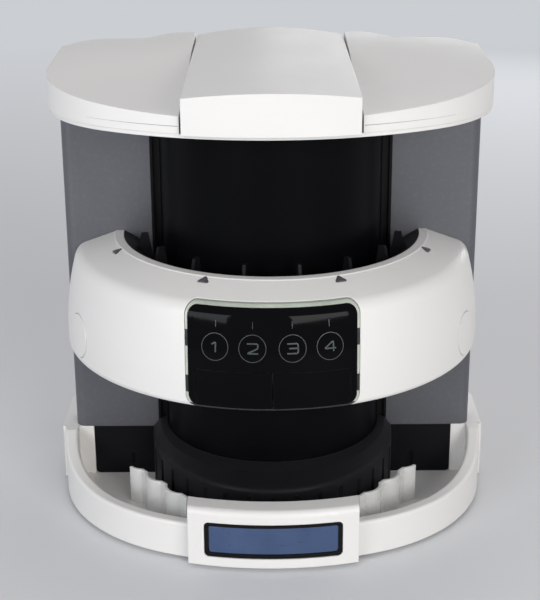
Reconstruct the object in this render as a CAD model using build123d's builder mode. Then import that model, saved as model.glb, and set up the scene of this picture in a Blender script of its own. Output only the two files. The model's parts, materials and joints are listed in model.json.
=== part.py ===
from build123d import *
from math import atan2, cos, degrees, radians, sin, sqrt
import os

# A bench-top scanner for flexible image plates, with a bare nameplate.
# Millimetres, +Z up, the front faces -Y, the origin is under the centre of the whole machine.
# The upright drum stands in the middle. A half collar round it takes the plates in at the top.
# They run down between drum and collar, past the scan gap, and drop into the tray.

os.makedirs("parts", exist_ok=True)

# Fits that the whole machine shares
seat_gap = 0.3        # between pieces that sit in one another
run_gap = 0.06        # between a shaft and its bore, on the radius
overrun = 6.0         # how far a cutting body runs past the face that it cuts

# Drum, which sets the scale of everything round it
drum_r = 92.0
drum_wall = 4.0
scan_z = 185.0        # height of the laser line
scan_slot = 4.0       # height of the gap between the two halves of the drum

# Levels, from the table up
foot_h = 3.0
floor_t = 3.0
rim_z = 33.0          # top of the tray's rim
deck_z = 52.0         # top of the base, where the housing stands
cover_z = 350.0       # underside of the top covers
deck_t = 3.0

# Front curve that base and top share
front_arc_r = 240.0
front_reach = 155.0   # from the drum's axis to the middle of the front

# Plan of the housing behind the drum
housing_half_w = 174.5
housing_side_y = 62.0
lobe_share = 0.9      # widths of the plan further back, as shares of the widest part
lobe_rear_y = 100.0
tower_root_share = 0.625
tower_share = 0.5
tower_rear_y = 132.0
lobe_corner_r = 30.0
housing_corner_r = 14.0
housing_wall = 3.0

# Base
base_wall = 3.0
pan_t = 2.0
tray_ledge = 8.5      # how far the tray stands out beyond the housing
tray_corner_share = 0.82
tray_rear_y = 70.0
tray_rear_r = 30.0
rim_w = 11.0
rim_round = 2.5
rim_rise_low_y = 105.0  # where the rim starts to climb, ahead of the drum's axis
rim_rise_high_y = 8.0
plate_block_proud = 9.0
plate_block_t = 19.0
plate_block_half_w = 68.0
plate_block_z = 52.5
plate_block_round = 5.0
plate_half_w = 55.0
plate_low_z = 11.0
plate_h = 30.6
plate_corner_r = 4.0
plate_frame_w = 3.5
plate_depth = 3.0
plate_frame_back = 0.8
foot_r = 9.0
foot_sink = 1.0
foot_front_in = 83.0  # from the tray's side
foot_front_y = 86.0
foot_rear_out = 5.0   # outside the tower's side
foot_rear_in = 45.0   # from the back of the base

# Catch liner and guards
liner_top_z = 61.3
liner_top_w = 2.0     # from the drum out to the edge of the top
liner_band_side_w = 7.0
liner_band_front_w = 17.0
liner_band_drop = 1.3
liner_skirt_side_w = 13.5
liner_skirt_front_w = 34.0
liner_skirt_drop = 9.3
liner_skirt_round = 5.0
liner_wall = 3.0
groove_r = 3.0
groove_out = 1.2      # how far the grooves' axes stand outside the skirt
groove_top_z = 47.0
groove_pitch = 10.6   # degrees round the oval skirt
groove_count = 15
groove_side_share = 0.776
groove_side_z = 27.0
liner_box_in = 16.0   # from the housing's side to the liner's flat wings
liner_box_corner_r = 4.0
guard_gap = 17.3375   # from the skirt's side to the rear end of the guard
guard_y = 53.0
guard_turn = 128.5    # degrees from the machine's right to the line of the guard
guard_l = 77.0
guard_pitch = 28.7
guard_lobe_r = 17.0
guard_wall = 2.5
guard_h = 32.0
guard_ribs = 3
guard_web = 4.5       # how much further in the web between the ribs is

# Collar
collar_depth = 50.0   # from the lip out to the front
collar_z = 143.0
collar_h = 91.0
collar_wall = 3.0
collar_mouth_w = 27.3  # from the throat out to the lip
collar_lip_w = 7.1
collar_lip_step = 0.8
collar_shoulder_in = 9.8
collar_shoulder_drop = 12.5
collar_shoulder_round = 14.0
collar_foot_h = 14.0
collar_foot_round = 5.0
collar_belly_share = 0.74
track_angles = (-67.5, -22.5, 22.5, 67.5)

# Entrance guide
guide_wall = 2.5
plate_gap = 5.0       # from the drum to the throat
guide_bend_w = 11.5   # from the lip in to the bend of the funnel
guide_bend_drop = 7.0
guide_throat_drop = 29.0
guide_flange = 4.0
fin_angles = (-78.75, -56.25, -33.75, -11.25, 11.25, 33.75, 56.25, 78.75)
fin_t = 2.6
fin_tip_r = 104.5
fin_top_w = 5.5
fin_rise = 4.0
fin_foot_w = 11.0

# Display and keys
collar_panel_swing = 32.0
lens_half_w = 65.5
lens_low_z = 143.8
lens_high_z = 224.2
lens_corner_r = 10.0
lens_proud = 0.8
lens_sink = 1.8
gasket_w = 1.9
gasket_proud = 0.5
key_half_w = 58.0
key_high_z = 175.0
key_gap = 0.4
key_split = 0.8
key_t = 5.0
key_travel = 1.2
window_half_w = 56.0
window_low_z = 183.0
window_high_z = 217.0
display_back = 16.0   # how far the board stands in front of the lip
screen_t = 4.0

# Lamps and side caps
lamp_r = 135.0
lamp_w = 11.4
lamp_l = 7.4
lamp_round = 1.2
lamp_proud = 1.0
lamp_sink = 6.0
cap_angle = 65.0
cap_r = 18.0
cap_z = 167.0
cap_proud = 0.5
cap_sink = 1.0
cap_swing = 9.0

# Feed of the plates
roller_r = 6.0
roller_w = 13.0
shaft_r = 1.5
belt_t = 1.5
belt_w = 12.0
belt_reach = 2.5      # gap that the belts leave to the drum
drive_z = 164.0
idler_z = 192.0
cheek_t = 3.0
cheek_space = 17.0
cheek_w = 10.0
feed_motor_r = 6.0
feed_motor_l = 11.0
feed_motor_at = 27.0
motor_grip = 5.0      # length of shaft inside a motor
erase_gap = 1.5       # from the throat's wall to the ring of lamps
erase_w = 17.0
erase_lamps = 13
erase_margin = 6.0    # degrees from the ends of the half ring to the outer lamps

# Top covers
top_ledge = 2.5       # how far the top stands out beyond the housing
top_corner_share = 0.62
top_rim_h = 29.0
dish_r = 1524.0
dish_low_h = 11.7     # lowest point of the dished top above its underside
dish_y = -150.0
dish_bend_r = 600.0   # how softly the dish runs out into the flat rear rim
top_wall = 3.0
deck_inset = 1.0
centre_half_w = 65.0
centre_proud = 5.0
centre_side_h = 27.0
centre_crown_r = 425.0
centre_rear_y = 140.0
centre_rear_r = 240.0
cover_seam = 1.6

# Scan head and optics
head_r = 70.0
head_t = 3.0
prism_w = 18.0
hub_r = 9.0
spindle_r = 3.0
spindle_grip = 20.0
scan_motor_r = 24.0
scan_motor_h = 32.0
partition_t = 3.0
head_room = 13.0      # depth of the scan chamber in each half of the drum
head_holes = 6
beam_r = 12.0
laser_r = 10.0
laser_l = 60.0
detector_r = 19.0
detector_l = 70.0
optics_t = 4.0

# Rear fittings
inlet_w = 27.0
inlet_h = 20.0
inlet_depth = 16.0
inlet_wall = 1.8
pin_w = 2.0
pin_h = 5.0
pin_l = 9.0
pin_pitch = 7.0
switch_w = 13.0
switch_h = 19.0
switch_t = 12.0
rocker_t = 8.0
rocker_tilt = 8.0     # degrees from the middle, at rest
port_w = 15.0
port_h = 12.0
port_depth = 14.0
port_space = 20.0
fitting_flange = 2.5
fitting_flange_t = 1.6
fittings_z = 28.0
inlet_share = -0.6    # places across the back, as shares of the tower's half width
switch_share = -0.207
port_share = 0.345
vent_w = 3.0
vent_l = 90.0
vent_pitch = 9.0
vents = 14
vent_z = 262.0
board_t = 1.6
chip_w = 14.0
chip_h = 2.5
board_share = 1.38
board_l = 150.0
board_z = 150.0
boss_l = 8.0
boss_r = 3.5
supply_share = 1.49
supply_d = 38.0
supply_h = 32.0

# Uprights
post_w = 8.5
post_depth = 18.0
post_groove = 3.0
panel_t = 3.0
panel_round = 9.0
panel_return = 22.0
column_y = 34.0
column_share = 0.54   # of the room between the drum's post and the housing's side
column_d = 22.0
column_t = 2.0
screw_r = 3.2
screw_head_h = 2.2
screw_share = 0.8
screw_inset = 24.0

# Worked out from the sizes above
front_arc_y = front_arc_r - front_reach
lobe_half_w = lobe_share * housing_half_w
tower_root_half_w = tower_root_share * housing_half_w
tower_half_w = tower_share * housing_half_w
tray_half_w = housing_half_w + tray_ledge
tray_corner_r = tray_corner_share * tray_half_w
top_half_w = housing_half_w + top_ledge
top_corner_r = top_corner_share * top_half_w
inlet_x = inlet_share * tower_half_w
switch_x = switch_share * tower_half_w
port_x = port_share * tower_half_w
board_w = board_share * tower_half_w
supply_w = supply_share * tower_half_w
screw_x = screw_share * tower_half_w
throat_r = drum_r + plate_gap
collar_lip_r = throat_r + collar_mouth_w
collar_r = collar_lip_r + collar_depth
erase_inner_r = throat_r + guide_wall + erase_gap
erase_outer_r = erase_inner_r + erase_w
wing_half_w = tray_half_w + seat_gap + base_wall
base_ledge = wing_half_w - housing_half_w
base_reach = tower_rear_y + base_ledge
axis_y = (collar_r - base_reach) / 2
floor_z = foot_h + floor_t
collar_top_z = collar_z + collar_h
lip_fit_r = collar_lip_r - seat_gap
key_low_z = lens_low_z + gasket_w + key_gap
lower_drum_top = scan_z - scan_slot / 2
upper_drum_low = scan_z + scan_slot / 2
top_deck_z = cover_z - deck_t
post_x = drum_r + seat_gap
panel_x = post_x + post_w
column_x = (panel_x + housing_half_w) / 2
column_w = column_share * (housing_half_w - panel_x)
drum_axis = Axis((0, axis_y, 0), (0, 0, 1))
roller_axis_r = drum_r + belt_reach + belt_t + run_gap + roller_r
liner_box_half_w = housing_half_w - liner_box_in
foot_front = (tray_half_w - foot_front_in, -foot_front_y)
foot_rear = (tower_half_w + foot_rear_out, base_reach - foot_rear_in)


def level(height):
    """Horizontal plane at a height, with its origin on the drum's axis."""
    return Plane(origin=(0, axis_y, height))


def facing(depth):
    """Upright plane seen from the front: x to the right, y up, at a depth behind the drum's axis."""
    return Plane(origin=(0, axis_y + depth, 0), x_dir=(1, 0, 0), z_dir=(0, -1, 0))


def radial(angle):
    """Upright plane through the drum's axis: x outwards, y up, at degrees from the front to the right."""
    turn = radians(angle)
    return Plane(origin=(0, axis_y, 0), x_dir=(sin(turn), -cos(turn), 0), z_dir=(-cos(turn), -sin(turn), 0))


def front_curve(half_w, corner_r):
    """Wide front arc with a tighter arc at each side. Returns how far back the side arcs end."""
    corner_x = half_w - corner_r
    swing = front_arc_r - corner_r
    drop = sqrt(swing**2 - corner_x**2)
    tilt = degrees(atan2(corner_x, drop))
    corner_y = front_arc_y - drop
    CenterArc((0, front_arc_y), front_arc_r, 270 - tilt, 2 * tilt)
    CenterArc((corner_x, corner_y), corner_r, 270 + tilt, 90 - tilt)
    CenterArc((-corner_x, corner_y), corner_r, 180, 90 - tilt)
    return corner_y


def tray_face():
    """Plan of the front tray."""
    with BuildSketch(mode=Mode.PRIVATE) as plan:
        with BuildLine():
            side_y = front_curve(tray_half_w, tray_corner_r)
            Polyline(
                (tray_half_w, side_y),
                (tray_half_w, tray_rear_y),
                (-tray_half_w, tray_rear_y),
                (-tray_half_w, side_y),
            )
        make_face()
        fillet(plan.vertices().group_by(Axis.Y)[-1], radius=tray_rear_r)
    add(plan.sketch)


def housing_points():
    """Rear corners of the housing's plan, from the right side round to the left."""
    half = [
        (housing_half_w, housing_side_y),
        (lobe_half_w, lobe_rear_y),
        (tower_root_half_w, lobe_rear_y),
        (tower_half_w, tower_rear_y),
    ]
    return half + [(-x, y) for x, y in reversed(half)]


def round_rear(plan):
    """Rounds the rear corners of a plan, those of the lobes more than the others."""
    for x in (-lobe_half_w, lobe_half_w):
        fillet(plan.vertices().sort_by_distance((x, lobe_rear_y, 0))[0], radius=lobe_corner_r)
    for x, y in ((tower_root_half_w, lobe_rear_y), (tower_half_w, tower_rear_y)):
        for side in (-x, x):
            fillet(plan.vertices().sort_by_distance((side, y, 0))[0], radius=housing_corner_r)


def housing_face():
    """Plan of the housing behind the drum's axis, its rear corners rounded."""
    with BuildSketch(mode=Mode.PRIVATE) as plan:
        with BuildLine():
            Polyline((housing_half_w, 0), *housing_points(), (-housing_half_w, 0), close=True)
        make_face()
        round_rear(plan)
    add(plan.sketch)


def top_face():
    """Plan of the top covers taken together."""
    with BuildSketch(mode=Mode.PRIVATE) as plan:
        with BuildLine():
            side_y = front_curve(top_half_w, top_corner_r)
            Polyline(
                (top_half_w, side_y),
                (top_half_w, housing_side_y),
                *housing_points()[1:-1],
                (-top_half_w, housing_side_y),
                (-top_half_w, side_y),
            )
        make_face()
        round_rear(plan)
    add(plan.sketch)


def arc_band(outer_r, inner_r, half_w):
    """Strip between two arcs about the front curve's centre, cut off square at both sides."""
    with BuildSketch(mode=Mode.PRIVATE) as strip:
        with Locations((0, front_arc_y)):
            Circle(outer_r)
            Circle(inner_r, mode=Mode.SUBTRACT)
        with Locations((0, front_arc_y - outer_r)):
            Rectangle(2 * half_w, outer_r, mode=Mode.INTERSECT)
    add(strip.sketch)


def front_window(half_w, low_z, high_z, corner_r):
    """Rounded rectangle seen from the front."""
    with Locations((0, (low_z + high_z) / 2)):
        RectangleRounded(2 * half_w, high_z - low_z, corner_r)


def curved_panel(outer_r, inner_r, half_w, low_z, high_z, corner_r):
    """Panel bent along the front curve, with rounded corners seen from the front."""
    with BuildPart() as panel:
        with BuildSketch(level(low_z - overrun)):
            arc_band(outer_r, inner_r, half_w + overrun)
        extrude(amount=high_z - low_z + 2 * overrun)
        with BuildSketch(facing(0)):
            front_window(half_w, low_z, high_z, corner_r)
        extrude(amount=outer_r, mode=Mode.INTERSECT)
    return panel.part


def collar_face(mode=Mode.ADD):
    """Half section of the collar's outer form: x is the radius, y the height."""
    shoulder_r = collar_r - collar_shoulder_in
    shoulder_z = collar_top_z - collar_shoulder_drop
    foot_z = collar_z + collar_foot_h
    lip_end = collar_lip_r + collar_lip_w
    belly = (shoulder_r + collar_belly_share * collar_shoulder_in, (shoulder_z + foot_z) / 2)
    with BuildSketch(mode=Mode.PRIVATE) as form:
        with BuildLine():
            Polyline(
                (collar_r, foot_z),
                (collar_r, collar_z),
                (collar_lip_r, collar_z),
                (collar_lip_r, collar_top_z),
                (lip_end, collar_top_z),
                (lip_end + collar_lip_step, collar_top_z - collar_lip_step),
                (shoulder_r, shoulder_z),
            )
            ThreePointArc((shoulder_r, shoulder_z), belly, (collar_r, foot_z))
        make_face()
        foot = form.vertices().sort_by_distance((collar_r, collar_z, 0))[0]
        fillet(foot, radius=collar_foot_round)
        shoulder = form.vertices().sort_by_distance((shoulder_r, shoulder_z, 0))[0]
        fillet(shoulder, radius=collar_shoulder_round)
    add(form.sketch, mode=mode)


def collar_skin(proud, sink, angle, swing):
    """Skin on the collar's outside, to both sides of an angle, between a depth and a height."""
    lip_end = collar_lip_r + collar_lip_w
    with BuildPart() as skin:
        with BuildSketch(radial(angle - swing)):
            with Locations((proud, proud), (proud, 0)):
                collar_face()
            with Locations((-sink, -sink)):
                collar_face(mode=Mode.SUBTRACT)
            with Locations((lip_end / 2, collar_z)):
                Rectangle(lip_end, 3 * collar_h, mode=Mode.SUBTRACT)
        revolve(axis=drum_axis, revolution_arc=2 * swing)
    return skin.part


def lamp_faces():
    """Rounded triangles over the four tracks, each with its tip towards the drum."""
    with BuildSketch(mode=Mode.PRIVATE) as lamps:
        for angle in track_angles:
            turn = radians(angle)
            with Locations(Location((lamp_r * sin(turn), -lamp_r * cos(turn), 0), (0, 0, angle))):
                Polygon((-lamp_w / 2, -lamp_l / 2), (lamp_w / 2, -lamp_l / 2), (0, lamp_l / 2), align=None)
        fillet(lamps.vertices(), radius=lamp_round)
    add(lamps.sketch)


def skin_panel(proud, sink, half_w, low_z, high_z, corner_r):
    """Panel on the front of the collar, bent to its surface, with rounded corners seen from the front."""
    skin = collar_skin(proud, sink, 0, collar_panel_swing)
    with BuildPart() as panel:
        add(skin)
        with BuildSketch(facing(0)):
            front_window(half_w, low_z, high_z, corner_r)
        extrude(amount=2 * collar_r, mode=Mode.INTERSECT)
    return panel.part


# Front tray, with the block that carries the nameplate
plate_face_r = front_arc_r + plate_block_proud
plate_high_z = plate_low_z + plate_h
plate_recess = curved_panel(
    plate_face_r + overrun,
    plate_face_r - plate_depth - run_gap,
    plate_half_w,
    plate_low_z,
    plate_high_z,
    plate_corner_r,
)

with BuildPart() as above_rim:
    with BuildSketch(Plane(origin=(-2 * tray_half_w, axis_y, 0), x_dir=(0, 1, 0), z_dir=(1, 0, 0))):
        with BuildLine():
            Line((-2 * front_arc_r, rim_z), (-rim_rise_low_y, rim_z))
            TangentArc((-rim_rise_low_y, rim_z), (-rim_rise_high_y, deck_z), tangent=(1, 0))
            Polyline(
                (-rim_rise_high_y, deck_z),
                (liner_wall, deck_z),
                (liner_wall, rim_z),
                (2 * tray_rear_y, rim_z),
                (2 * tray_rear_y, 2 * deck_z),
                (-2 * front_arc_r, 2 * deck_z),
                (-2 * front_arc_r, rim_z),
            )
        make_face()
    extrude(amount=4 * tray_half_w)

with BuildPart() as base_tray:
    with BuildSketch(level(foot_h)):
        tray_face()
    extrude(amount=deck_z - foot_h)
    with BuildSketch(level(floor_z)):
        tray_face()
        offset(amount=-rim_w)
        for side in (-1, 1):
            with Locations((side * (liner_box_half_w + seat_gap + tray_half_w / 2), liner_wall / 2)):
                Rectangle(tray_half_w, liner_wall, mode=Mode.SUBTRACT)
    extrude(amount=deck_z, mode=Mode.SUBTRACT)
    add(above_rim.part, mode=Mode.SUBTRACT)
    rim_edges = [
        edge
        for edge in base_tray.edges()
        if edge.center().Z > rim_z - run_gap and edge.center().Y < axis_y - rim_rise_high_y
    ]
    fillet(rim_edges, radius=rim_round)
    with BuildSketch(level(foot_h)):
        arc_band(plate_face_r, plate_face_r - plate_block_t, plate_block_half_w)
    extrude(amount=plate_block_z - foot_h)
    block_front = base_tray.faces().sort_by(Axis.Z)[-1].edges().sort_by(Axis.Y)[0]
    fillet(block_front, radius=plate_block_round)
    add(plate_recess, mode=Mode.SUBTRACT)
    with BuildSketch(level(foot_h)):
        with Locations(foot_front, (-foot_front[0], foot_front[1])):
            Circle(foot_r + seat_gap)
    extrude(amount=foot_sink, mode=Mode.SUBTRACT)
base_tray.part.label = "base_tray"
export_step(base_tray.part, "parts/base_tray.step")

with BuildPart() as rubber_feet:
    with BuildSketch(level(0)):
        for x, y in (foot_front, foot_rear):
            with Locations((x, y), (-x, y)):
                Circle(foot_r)
    extrude(amount=foot_h + foot_sink)
    chamfer(rubber_feet.faces().group_by(Axis.Z)[0].edges(), length=foot_sink)
rubber_feet.part.label = "rubber_feet"
export_step(rubber_feet.part, "parts/rubber_feet.step")

# Frame of the nameplate and the bare plate inside it
plate_back_r = plate_face_r - plate_depth
with BuildPart() as nameplate_bezel:
    with BuildSketch(level(plate_low_z)):
        arc_band(plate_face_r - plate_frame_back, plate_back_r, plate_half_w)
    extrude(amount=plate_high_z - plate_low_z)
    with BuildSketch(facing(0)):
        front_window(
            plate_half_w - seat_gap, plate_low_z + seat_gap, plate_high_z - seat_gap, plate_corner_r
        )
        with BuildSketch(mode=Mode.PRIVATE) as opening:
            front_window(
                plate_half_w - plate_frame_w,
                plate_low_z + plate_frame_w,
                plate_high_z - plate_frame_w,
                plate_corner_r / 2,
            )
        add(opening.sketch, mode=Mode.SUBTRACT)
    extrude(amount=plate_face_r, mode=Mode.INTERSECT)
nameplate_bezel.part.label = "nameplate_bezel"
export_step(nameplate_bezel.part, "parts/nameplate_bezel.step")

plate_sheet = curved_panel(
    plate_back_r + plate_depth / 2,
    plate_back_r,
    plate_half_w - plate_frame_w - seat_gap,
    plate_low_z + plate_frame_w + seat_gap,
    plate_high_z - plate_frame_w - seat_gap,
    plate_corner_r / 2,
)

with BuildPart() as nameplate_insert:
    add(plate_sheet)
nameplate_insert.part.label = "nameplate_insert"
export_step(nameplate_insert.part, "parts/nameplate_insert.step")

# Rear base, a shell whose side wings run forward beside the tray
with BuildPart() as rear_base_shell:
    with BuildSketch(level(foot_h)):
        housing_face()
        offset(amount=base_ledge)
        with Locations((0, -base_reach)):
            Rectangle(2 * base_reach + 2 * wing_half_w, 2 * base_reach, mode=Mode.SUBTRACT)
    extrude(amount=deck_z - foot_h)
    with BuildSketch(level(foot_h)):
        housing_face()
        offset(amount=base_ledge - base_wall)
    extrude(amount=deck_z - deck_t - foot_h, mode=Mode.SUBTRACT)
    with BuildSketch(level(deck_z - deck_t)):
        Rectangle(2 * (tray_half_w + seat_gap), 2 * (liner_wall + seat_gap))
    extrude(amount=deck_t, mode=Mode.SUBTRACT)
    with BuildSketch(facing(base_reach)):
        with Locations((inlet_x, fittings_z)):
            Rectangle(inlet_w + 2 * seat_gap, inlet_h + 2 * seat_gap)
        with Locations((switch_x, fittings_z)):
            Rectangle(switch_w + 2 * seat_gap, switch_h + 2 * seat_gap)
        with Locations((port_x - port_space / 2, fittings_z), (port_x + port_space / 2, fittings_z)):
            Rectangle(port_w + 2 * seat_gap, port_h + 2 * seat_gap)
    extrude(amount=base_wall + overrun, both=True, mode=Mode.SUBTRACT)
rear_base_shell.part.label = "rear_base_shell"
export_step(rear_base_shell.part, "parts/rear_base_shell.step")

# Steel pan that closes the rear base
with BuildPart() as base_pan:
    with BuildSketch(level(foot_h)):
        housing_face()
        offset(amount=base_ledge - base_wall - seat_gap)
        Rectangle(2 * base_reach + 2 * wing_half_w, 2 * (tray_rear_y + seat_gap), mode=Mode.SUBTRACT)
    extrude(amount=pan_t)
    with BuildSketch(level(foot_h)):
        with Locations(foot_rear, (-foot_rear[0], foot_rear[1])):
            Circle(foot_r + seat_gap)
    extrude(amount=foot_sink, mode=Mode.SUBTRACT)
base_pan.part.label = "base_pan"
export_step(base_pan.part, "parts/base_pan.step")

# Soft liner that catches the plates: a sloping foot round the drum with a grooved oval skirt
skirt_side_r = drum_r + liner_skirt_side_w
skirt_front_r = drum_r + liner_skirt_front_w
skirt_z = liner_top_z - liner_skirt_drop
band_z = liner_top_z - liner_band_drop
groove_turns = [radians((step - (groove_count - 1) / 2) * groove_pitch) for step in range(groove_count)]
groove_places = [
    ((skirt_side_r + groove_out) * sin(turn), -(skirt_front_r + groove_out) * cos(turn))
    for turn in groove_turns
]
groove_side_x = groove_side_share * liner_box_half_w


with BuildPart() as catch_liner:
    with BuildSketch(level(band_z)):
        Ellipse(drum_r + liner_band_side_w, drum_r + liner_band_front_w)
    with BuildSketch(level(liner_top_z)):
        Ellipse(drum_r + liner_top_w, drum_r + liner_top_w + run_gap)
    loft(ruled=True)
    with BuildSketch(level(skirt_z)):
        Ellipse(skirt_side_r, skirt_front_r)
    with BuildSketch(level(band_z)):
        Ellipse(drum_r + liner_band_side_w, drum_r + liner_band_front_w)
    loft(ruled=True)
    with BuildSketch(level(floor_z)):
        Ellipse(skirt_side_r, skirt_front_r)
    extrude(amount=skirt_z - floor_z)
    fillet(catch_liner.edges().filter_by_position(Axis.Z, skirt_z, skirt_z), radius=liner_skirt_round)
    with BuildSketch(level(floor_z)):
        with Locations(*groove_places):
            Circle(groove_r)
    extrude(amount=groove_top_z - groove_r - floor_z, mode=Mode.SUBTRACT)
    with Locations(*[(x, y + axis_y, groove_top_z - groove_r) for x, y in groove_places]):
        Sphere(groove_r, mode=Mode.SUBTRACT)
    with BuildSketch(facing(0)):
        with Locations((0, deck_z / 2)):
            Rectangle(4 * skirt_front_r, 2 * deck_z)
    extrude(amount=-2 * skirt_front_r, mode=Mode.SUBTRACT)
    with BuildSketch(facing(0)):
        with Locations((0, (floor_z + deck_z) / 2)):
            RectangleRounded(2 * liner_box_half_w, deck_z - floor_z, liner_box_corner_r)
        with Locations((0, deck_z - liner_box_corner_r)):
            Rectangle(2 * liner_box_half_w, 2 * liner_box_corner_r)
    extrude(amount=-liner_wall)
    with BuildSketch(level(floor_z)):
        with Locations((-groove_side_x, -groove_out), (groove_side_x, -groove_out)):
            Circle(groove_r)
    extrude(amount=groove_side_z - groove_r - floor_z, mode=Mode.SUBTRACT)
    for side in (-groove_side_x, groove_side_x):
        with Locations((side, axis_y - groove_out, groove_side_z - groove_r)):
            Sphere(groove_r, mode=Mode.SUBTRACT)
    with BuildSketch(level(floor_z)):
        Ellipse(skirt_side_r - groove_r - liner_wall, skirt_front_r - groove_r - liner_wall)
    extrude(amount=skirt_z - liner_wall - floor_z, mode=Mode.SUBTRACT)
    with BuildSketch(level(0)):
        Circle(drum_r + seat_gap)
    extrude(amount=2 * deck_z, mode=Mode.SUBTRACT)
catch_liner.part.label = "catch_liner"
export_step(catch_liner.part, "parts/catch_liner.step")

# Fluted guards that stand on the tray's floor, left and right
guard_place = Location((skirt_side_r + guard_gap, -guard_y, 0), (0, 0, -guard_turn))
guard_ribs_at = [(step * guard_pitch, -guard_lobe_r) for step in range(guard_ribs)]

with BuildPart() as flute_guard_right:
    with BuildSketch(level(floor_z)):
        with Locations(guard_place):
            with Locations((guard_l / 2, -guard_web - guard_wall / 2)):
                Rectangle(guard_l, guard_wall)
            with Locations(*guard_ribs_at):
                Circle(guard_lobe_r)
            with Locations((guard_l / 2, -guard_web - guard_wall - guard_lobe_r)):
                Rectangle(2 * guard_l, 2 * guard_lobe_r, mode=Mode.SUBTRACT)
            with Locations(*guard_ribs_at):
                Circle(guard_lobe_r - guard_wall, mode=Mode.SUBTRACT)
            with Locations((guard_l / 2, 0)):
                Rectangle(guard_l, guard_l, mode=Mode.INTERSECT)
    extrude(amount=guard_h)
flute_guard_right.part.label = "flute_guard_right"
export_step(flute_guard_right.part, "parts/flute_guard_right.step")

with BuildPart() as flute_guard_left:
    mirror(flute_guard_right.part, about=Plane.YZ)
flute_guard_left.part.label = "flute_guard_left"
export_step(flute_guard_left.part, "parts/flute_guard_left.step")

# Lower half of the drum, closed above by the partition that carries the scan motor
with BuildPart() as lower_drum:
    with BuildSketch(level(deck_z)):
        Circle(drum_r)
    extrude(amount=lower_drum_top - deck_z)
    with BuildSketch(level(deck_z)):
        Circle(drum_r - drum_wall)
    extrude(amount=lower_drum_top - head_room - partition_t - deck_z, mode=Mode.SUBTRACT)
    with BuildSketch(level(lower_drum_top - head_room)):
        Circle(drum_r - drum_wall)
    extrude(amount=head_room, mode=Mode.SUBTRACT)
    with BuildSketch(level(lower_drum_top - head_room - partition_t)):
        Circle(hub_r + seat_gap)
    extrude(amount=partition_t, mode=Mode.SUBTRACT)
lower_drum.part.label = "lower_drum"
export_step(lower_drum.part, "parts/lower_drum.step")

# Upper half of the drum, closed below by the partition that the beam comes down through
with BuildPart() as upper_drum:
    with BuildSketch(level(upper_drum_low)):
        Circle(drum_r)
    extrude(amount=top_deck_z - upper_drum_low)
    with BuildSketch(level(upper_drum_low + head_room + partition_t)):
        Circle(drum_r - drum_wall)
    extrude(amount=top_deck_z, mode=Mode.SUBTRACT)
    with BuildSketch(level(upper_drum_low)):
        Circle(drum_r - drum_wall)
    extrude(amount=head_room, mode=Mode.SUBTRACT)
    with BuildSketch(level(upper_drum_low + head_room)):
        Circle(beam_r)
    extrude(amount=partition_t, mode=Mode.SUBTRACT)
upper_drum.part.label = "upper_drum"
export_step(upper_drum.part, "parts/upper_drum.step")

# Scan motor under the partition
motor_top = lower_drum_top - head_room - partition_t

with BuildPart() as scan_motor:
    with BuildSketch(level(motor_top - scan_motor_h)):
        Circle(scan_motor_r)
        Circle(spindle_r + run_gap, mode=Mode.SUBTRACT)
    extrude(amount=scan_motor_h)
    chamfer(scan_motor.faces().sort_by(Axis.Z)[0].edges().sort_by(SortBy.LENGTH)[-1], length=partition_t / 2)
scan_motor.part.label = "scan_motor"
export_step(scan_motor.part, "parts/scan_motor.step")

# Turning head: spindle, hub, disc and the prism that bends the beam outwards
disc_z = scan_z - prism_w / 2 - head_t

with BuildPart() as scan_head:
    with BuildSketch(level(motor_top - spindle_grip)):
        Circle(spindle_r)
    extrude(amount=disc_z - motor_top + spindle_grip)
    with BuildSketch(level(motor_top + seat_gap)):
        Circle(hub_r)
    extrude(amount=disc_z - motor_top - seat_gap)
    with BuildSketch(level(disc_z)):
        Circle(head_r)
        with PolarLocations((head_r + hub_r) / 2, head_holes):
            Circle((head_r - hub_r) / 4, mode=Mode.SUBTRACT)
    extrude(amount=head_t)
    with BuildSketch(level(disc_z + head_t)):
        Rectangle(prism_w, prism_w)
    extrude(amount=prism_w)
    with BuildSketch(facing(prism_w / 2)):
        with Locations((0, disc_z + head_t + prism_w / 2)):
            Circle(prism_w / 4)
    extrude(amount=prism_w / 2, mode=Mode.SUBTRACT)
scan_head.part.label = "scan_head"
export_step(scan_head.part, "parts/scan_head.step")

# Bracket on the upper partition, with the laser upright beside the detector
optics_z = upper_drum_low + head_room + partition_t
beam_arm = laser_r + detector_r + optics_t

with BuildPart() as optics_bracket:
    with BuildSketch(level(optics_z)):
        RectangleRounded(2 * beam_arm, 2 * (detector_r + optics_t), optics_t)
        Circle(beam_r, mode=Mode.SUBTRACT)
    extrude(amount=optics_t)
    with BuildSketch(level(optics_z + optics_t)):
        with Locations((0, detector_r + optics_t / 2 + seat_gap)):
            Rectangle(2 * beam_arm, optics_t)
    extrude(amount=detector_l)
optics_bracket.part.label = "optics_bracket"
export_step(optics_bracket.part, "parts/optics_bracket.step")

with BuildPart() as laser_module:
    with BuildSketch(level(optics_z + optics_t)):
        with Locations((-beam_arm + laser_r, 0)):
            Circle(laser_r)
    extrude(amount=laser_l)
    chamfer(laser_module.faces().sort_by(Axis.Z)[-1].edges(), length=laser_r / 5)
laser_module.part.label = "laser_module"
export_step(laser_module.part, "parts/laser_module.step")

with BuildPart() as light_detector:
    with BuildSketch(level(optics_z + optics_t)):
        with Locations((beam_arm - detector_r, 0)):
            Circle(detector_r)
    extrude(amount=detector_l)
    chamfer(light_detector.faces().sort_by(Axis.Z)[-1].edges(), length=laser_r / 5)
light_detector.part.label = "light_detector"
export_step(light_detector.part, "parts/light_detector.step")

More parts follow.
